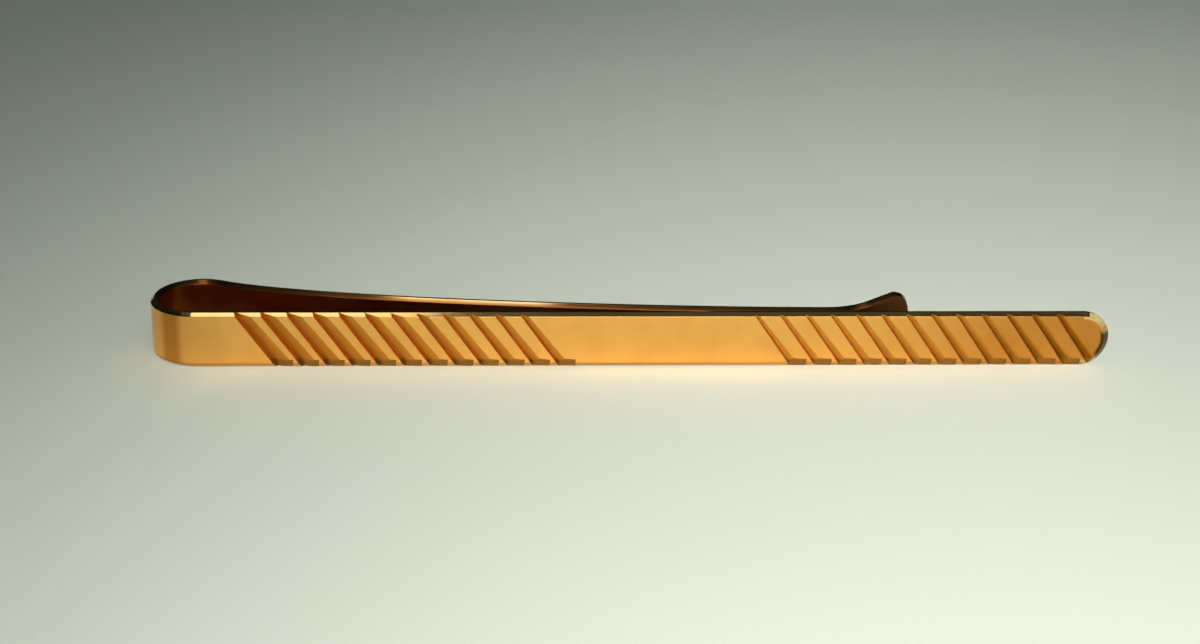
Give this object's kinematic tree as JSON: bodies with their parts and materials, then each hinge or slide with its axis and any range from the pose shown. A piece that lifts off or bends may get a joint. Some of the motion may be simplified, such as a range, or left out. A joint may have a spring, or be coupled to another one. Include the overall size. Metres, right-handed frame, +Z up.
{
  "type": "tie slide",
  "caption": "Slim gold-plated tie slide: a strip folded round a bend, with a front bar engraved with slanting grooves, and a sprung leg with a flared lip that grips a tie to a shirt.",
  "frame": {"origin": "centre of the footprint of the slide standing on its long edge", "axes": "+X along the bar from the bend to the round end, +Y from the engraved face back to the leg, +Z up across the strip's width"},
  "size_m": [0.07, 0.007, 0.0042],
  "materials": {
    "engraved_gold_plate": "gold-plated brass, polished, with cut grooves",
    "polished_gold_plate": "gold-plated brass, polished"
  },
  "bodies": {
    "bar": {"front_bar": "engraved_gold_plate", "bend_front": "polished_gold_plate"},
    "shoulder": {"bend_back": "polished_gold_plate", "leg_root": "polished_gold_plate"},
    "leg": {"spring_leg": "polished_gold_plate", "lead_in_lip": "polished_gold_plate"}
  },
  "joints": [
    {"name": "bend_flex", "type": "hinge", "parent": "bar", "child": "shoulder", "pos_m": [-0.03465, 0, 0.0021], "axis": [0, 0, 1], "range_deg": [0, 3.3]},
    {"name": "leg_flex", "type": "hinge", "parent": "shoulder", "child": "leg", "pos_m": [-0.02375, 0.00098, 0.0021], "axis": [0, 0, 1], "range_deg": [0, 5], "stiffness_Nm_per_rad": 1.04}
  ],
  "couplings": [
    {"joint": "bend_flex", "follows": "leg_flex", "ratio": 0.65}
  ]
}
